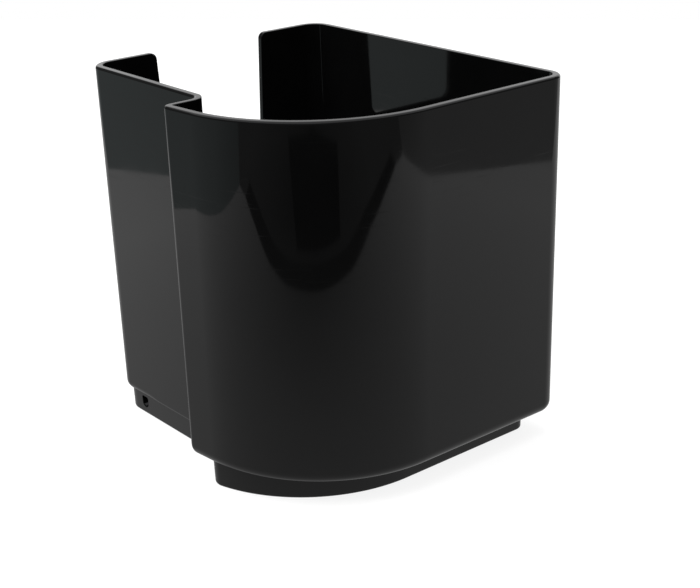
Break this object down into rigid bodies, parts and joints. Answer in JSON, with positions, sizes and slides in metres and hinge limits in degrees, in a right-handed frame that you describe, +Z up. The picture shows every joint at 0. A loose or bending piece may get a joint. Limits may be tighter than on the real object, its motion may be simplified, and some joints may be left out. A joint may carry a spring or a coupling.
{
  "type": "coffee grounds container",
  "caption": "Gloss-black moulded bin for spent coffee pucks, open at the top, with a large round front corner, a notched rear wall and a stepped-in foot.",
  "frame": {"origin": "on the surface that the bin stands on, under the middle of its outer box", "axes": "+X to the right seen from the front, +Y towards the notched rear wall, +Z up"},
  "size_m": [0.112, 0.128, 0.125],
  "materials": {
    "gloss_black_plastic": "injection-moulded, high gloss, with fine handling scratches"
  },
  "bodies": {
    "root": {"grounds_bin": "gloss_black_plastic"}
  },
  "joints": []
}
